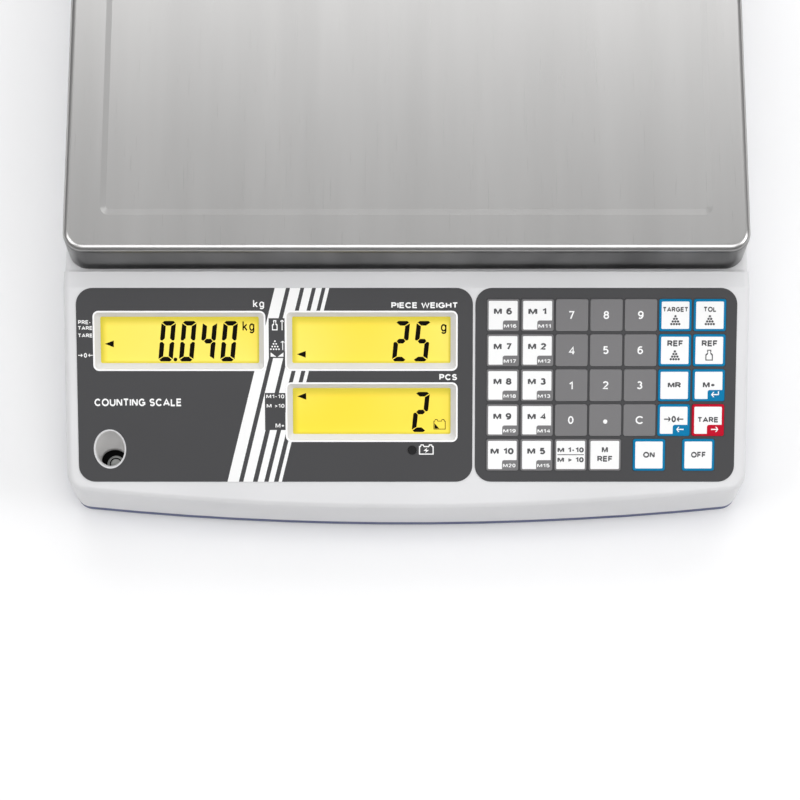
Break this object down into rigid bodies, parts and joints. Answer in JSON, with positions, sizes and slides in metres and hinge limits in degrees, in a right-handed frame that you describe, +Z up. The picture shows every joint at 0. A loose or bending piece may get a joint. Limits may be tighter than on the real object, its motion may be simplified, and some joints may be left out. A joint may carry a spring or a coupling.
{
  "type": "counting scale",
  "caption": "Low bench counting scale with a removable steel weighing plate, a sloped panel with displays and a pressable keypad, and adjustable levelling feet.",
  "frame": {"origin": "centre of the housing's outline on the surface under the feet", "axes": "+X to the user's right, +Y to the back, +Z up; the sloped control panel faces -Y"},
  "size_m": [0.3, 0.33, 0.1028],
  "materials": {
    "white_housing": "fine satin texture",
    "navy_base": "satin",
    "label_film": "fine matt film",
    "display_glass": "gloss over a back-lit reflector",
    "circuit_board": "satin",
    "lamp_lens": "gloss",
    "level_glass": "clear",
    "cell_aluminium": "machined",
    "frame_casting": "as cast",
    "pad_rubber": "matt",
    "plate_steel": "brushed",
    "battery_case": "satin",
    "black_plastic": "satin",
    "screw_steel": "zinc plated",
    "key_grey": "fine matt film",
    "key_white": "fine matt film"
  },
  "bodies": {
    "base": {"upper_housing": "white_housing", "base_housing": "navy_base", "display_overlay": "label_film", "keypad_overlay": "label_film", "lcd_modules": "display_glass", "main_board": "circuit_board", "charge_led": "lamp_lens", "level_vial": "level_glass", "load_cell": "cell_aluminium", "base_frame": "frame_casting", "battery": "battery_case", "battery_cover": "navy_base", "power_socket": "black_plastic", "housing_screws": "screw_steel", "wiring": "black_plastic"},
    "platform": {"platform_carrier": "frame_casting", "plate_pads": "pad_rubber"},
    "plate": {"weighing_plate": "plate_steel"},
    "foot_sole_front_left": {"foot_sole_front_left": "pad_rubber"},
    "foot_screw_front_left": {"foot_screw_front_left": "black_plastic"},
    "foot_sole_front_right": {"foot_sole_front_right": "pad_rubber"},
    "foot_screw_front_right": {"foot_screw_front_right": "black_plastic"},
    "foot_sole_back_left": {"foot_sole_back_left": "pad_rubber"},
    "foot_screw_back_left": {"foot_screw_back_left": "black_plastic"},
    "foot_sole_back_right": {"foot_sole_back_right": "pad_rubber"},
    "foot_screw_back_right": {"foot_screw_back_right": "black_plastic"},
    "key_0": {"key_0": "key_grey"},
    "key_1": {"key_1": "key_grey"},
    "key_2": {"key_2": "key_grey"},
    "key_3": {"key_3": "key_grey"},
    "key_4": {"key_4": "key_grey"},
    "key_5": {"key_5": "key_grey"},
    "key_6": {"key_6": "key_grey"},
    "key_7": {"key_7": "key_grey"},
    "key_8": {"key_8": "key_grey"},
    "key_9": {"key_9": "key_grey"},
    "key_clear": {"key_clear": "key_grey"},
    "key_m1": {"key_m1": "key_white"},
    "key_m10": {"key_m10": "key_white"},
    "key_m2": {"key_m2": "key_white"},
    "key_m3": {"key_m3": "key_white"},
    "key_m4": {"key_m4": "key_white"},
    "key_m5": {"key_m5": "key_white"},
    "key_m6": {"key_m6": "key_white"},
    "key_m7": {"key_m7": "key_white"},
    "key_m8": {"key_m8": "key_white"},
    "key_m9": {"key_m9": "key_white"},
    "key_memory_add": {"key_memory_add": "key_white"},
    "key_memory_bank": {"key_memory_bank": "key_white"},
    "key_memory_recall": {"key_memory_recall": "key_white"},
    "key_memory_reference": {"key_memory_reference": "key_white"},
    "key_off": {"key_off": "key_white"},
    "key_on": {"key_on": "key_white"},
    "key_point": {"key_point": "key_grey"},
    "key_reference_count": {"key_reference_count": "key_white"},
    "key_reference_weight": {"key_reference_weight": "key_white"},
    "key_tare": {"key_tare": "key_white"},
    "key_target": {"key_target": "key_white"},
    "key_tolerance": {"key_tolerance": "key_white"},
    "key_zero": {"key_zero": "key_white"}
  },
  "joints": [
    {"name": "platform_load", "type": "slide", "parent": "base", "child": "platform", "axis": [0, 0, -1], "range_m": [0, 0.0005], "stiffness_N_per_m": 300000, "deforming": ["load_cell"]},
    {"name": "plate_lift", "type": "slide", "parent": "platform", "child": "plate", "axis": [0, 0, 1], "range_m": [0, 0.06]},
    {"name": "foot_height_front_left", "type": "slide", "parent": "base", "child": "foot_sole_front_left", "axis": [0, 0, -1], "range_m": [0, 0.008]},
    {"name": "foot_turn_front_left", "type": "hinge", "parent": "foot_sole_front_left", "child": "foot_screw_front_left", "pos_m": [-0.118, -0.128, 0.006], "axis": [0, 0, -1], "range_deg": [0, 2303]},
    {"name": "foot_height_front_right", "type": "slide", "parent": "base", "child": "foot_sole_front_right", "axis": [0, 0, -1], "range_m": [0, 0.008]},
    {"name": "foot_turn_front_right", "type": "hinge", "parent": "foot_sole_front_right", "child": "foot_screw_front_right", "pos_m": [0.118, -0.128, 0.006], "axis": [0, 0, -1], "range_deg": [0, 2303]},
    {"name": "foot_height_back_left", "type": "slide", "parent": "base", "child": "foot_sole_back_left", "axis": [0, 0, -1], "range_m": [0, 0.008]},
    {"name": "foot_turn_back_left", "type": "hinge", "parent": "foot_sole_back_left", "child": "foot_screw_back_left", "pos_m": [-0.118, 0.128, 0.006], "axis": [0, 0, -1], "range_deg": [0, 2303]},
    {"name": "foot_height_back_right", "type": "slide", "parent": "base", "child": "foot_sole_back_right", "axis": [0, 0, -1], "range_m": [0, 0.008]},
    {"name": "foot_turn_back_right", "type": "hinge", "parent": "foot_sole_back_right", "child": "foot_screw_back_right", "pos_m": [0.118, 0.128, 0.006], "axis": [0, 0, -1], "range_deg": [0, 2303]},
    {"name": "press_0", "type": "slide", "parent": "base", "child": "key_0", "axis": [0, 0.4226, -0.9063], "range_m": [0, 0.0005], "stiffness_N_per_m": 3000},
    {"name": "press_1", "type": "slide", "parent": "base", "child": "key_1", "axis": [0, 0.4226, -0.9063], "range_m": [0, 0.0005], "stiffness_N_per_m": 3000},
    {"name": "press_2", "type": "slide", "parent": "base", "child": "key_2", "axis": [0, 0.4226, -0.9063], "range_m": [0, 0.0005], "stiffness_N_per_m": 3000},
    {"name": "press_3", "type": "slide", "parent": "base", "child": "key_3", "axis": [0, 0.4226, -0.9063], "range_m": [0, 0.0005], "stiffness_N_per_m": 3000},
    {"name": "press_4", "type": "slide", "parent": "base", "child": "key_4", "axis": [0, 0.4226, -0.9063], "range_m": [0, 0.0005], "stiffness_N_per_m": 3000},
    {"name": "press_5", "type": "slide", "parent": "base", "child": "key_5", "axis": [0, 0.4226, -0.9063], "range_m": [0, 0.0005], "stiffness_N_per_m": 3000},
    {"name": "press_6", "type": "slide", "parent": "base", "child": "key_6", "axis": [0, 0.4226, -0.9063], "range_m": [0, 0.0005], "stiffness_N_per_m": 3000},
    {"name": "press_7", "type": "slide", "parent": "base", "child": "key_7", "axis": [0, 0.4226, -0.9063], "range_m": [0, 0.0005], "stiffness_N_per_m": 3000},
    {"name": "press_8", "type": "slide", "parent": "base", "child": "key_8", "axis": [0, 0.4226, -0.9063], "range_m": [0, 0.0005], "stiffness_N_per_m": 3000},
    {"name": "press_9", "type": "slide", "parent": "base", "child": "key_9", "axis": [0, 0.4226, -0.9063], "range_m": [0, 0.0005], "stiffness_N_per_m": 3000},
    {"name": "press_clear", "type": "slide", "parent": "base", "child": "key_clear", "axis": [0, 0.4226, -0.9063], "range_m": [0, 0.0005], "stiffness_N_per_m": 3000},
    {"name": "press_m1", "type": "slide", "parent": "base", "child": "key_m1", "axis": [0, 0.4226, -0.9063], "range_m": [0, 0.0005], "stiffness_N_per_m": 3000},
    {"name": "press_m10", "type": "slide", "parent": "base", "child": "key_m10", "axis": [0, 0.4226, -0.9063], "range_m": [0, 0.0005], "stiffness_N_per_m": 3000},
    {"name": "press_m2", "type": "slide", "parent": "base", "child": "key_m2", "axis": [0, 0.4226, -0.9063], "range_m": [0, 0.0005], "stiffness_N_per_m": 3000},
    {"name": "press_m3", "type": "slide", "parent": "base", "child": "key_m3", "axis": [0, 0.4226, -0.9063], "range_m": [0, 0.0005], "stiffness_N_per_m": 3000},
    {"name": "press_m4", "type": "slide", "parent": "base", "child": "key_m4", "axis": [0, 0.4226, -0.9063], "range_m": [0, 0.0005], "stiffness_N_per_m": 3000},
    {"name": "press_m5", "type": "slide", "parent": "base", "child": "key_m5", "axis": [0, 0.4226, -0.9063], "range_m": [0, 0.0005], "stiffness_N_per_m": 3000},
    {"name": "press_m6", "type": "slide", "parent": "base", "child": "key_m6", "axis": [0, 0.4226, -0.9063], "range_m": [0, 0.0005], "stiffness_N_per_m": 3000},
    {"name": "press_m7", "type": "slide", "parent": "base", "child": "key_m7", "axis": [0, 0.4226, -0.9063], "range_m": [0, 0.0005], "stiffness_N_per_m": 3000},
    {"name": "press_m8", "type": "slide", "parent": "base", "child": "key_m8", "axis": [0, 0.4226, -0.9063], "range_m": [0, 0.0005], "stiffness_N_per_m": 3000},
    {"name": "press_m9", "type": "slide", "parent": "base", "child": "key_m9", "axis": [0, 0.4226, -0.9063], "range_m": [0, 0.0005], "stiffness_N_per_m": 3000},
    {"name": "press_memory_add", "type": "slide", "parent": "base", "child": "key_memory_add", "axis": [0, 0.4226, -0.9063], "range_m": [0, 0.0005], "stiffness_N_per_m": 3000},
    {"name": "press_memory_bank", "type": "slide", "parent": "base", "child": "key_memory_bank", "axis": [0, 0.4226, -0.9063], "range_m": [0, 0.0005], "stiffness_N_per_m": 3000},
    {"name": "press_memory_recall", "type": "slide", "parent": "base", "child": "key_memory_recall", "axis": [0, 0.4226, -0.9063], "range_m": [0, 0.0005], "stiffness_N_per_m": 3000},
    {"name": "press_memory_reference", "type": "slide", "parent": "base", "child": "key_memory_reference", "axis": [0, 0.4226, -0.9063], "range_m": [0, 0.0005], "stiffness_N_per_m": 3000},
    {"name": "press_off", "type": "slide", "parent": "base", "child": "key_off", "axis": [0, 0.4226, -0.9063], "range_m": [0, 0.0005], "stiffness_N_per_m": 3000},
    {"name": "press_on", "type": "slide", "parent": "base", "child": "key_on", "axis": [0, 0.4226, -0.9063], "range_m": [0, 0.0005], "stiffness_N_per_m": 3000},
    {"name": "press_point", "type": "slide", "parent": "base", "child": "key_point", "axis": [0, 0.4226, -0.9063], "range_m": [0, 0.0005], "stiffness_N_per_m": 3000},
    {"name": "press_reference_count", "type": "slide", "parent": "base", "child": "key_reference_count", "axis": [0, 0.4226, -0.9063], "range_m": [0, 0.0005], "stiffness_N_per_m": 3000},
    {"name": "press_reference_weight", "type": "slide", "parent": "base", "child": "key_reference_weight", "axis": [0, 0.4226, -0.9063], "range_m": [0, 0.0005], "stiffness_N_per_m": 3000},
    {"name": "press_tare", "type": "slide", "parent": "base", "child": "key_tare", "axis": [0, 0.4226, -0.9063], "range_m": [0, 0.0005], "stiffness_N_per_m": 3000},
    {"name": "press_target", "type": "slide", "parent": "base", "child": "key_target", "axis": [0, 0.4226, -0.9063], "range_m": [0, 0.0005], "stiffness_N_per_m": 3000},
    {"name": "press_tolerance", "type": "slide", "parent": "base", "child": "key_tolerance", "axis": [0, 0.4226, -0.9063], "range_m": [0, 0.0005], "stiffness_N_per_m": 3000},
    {"name": "press_zero", "type": "slide", "parent": "base", "child": "key_zero", "axis": [0, 0.4226, -0.9063], "range_m": [0, 0.0005], "stiffness_N_per_m": 3000}
  ],
  "couplings": [
    {"joint": "foot_height_front_left", "follows": "foot_turn_front_left", "m_per_rad": 0.00019894},
    {"joint": "foot_height_front_right", "follows": "foot_turn_front_right", "m_per_rad": 0.00019894},
    {"joint": "foot_height_back_left", "follows": "foot_turn_back_left", "m_per_rad": 0.00019894},
    {"joint": "foot_height_back_right", "follows": "foot_turn_back_right", "m_per_rad": 0.00019894}
  ]
}
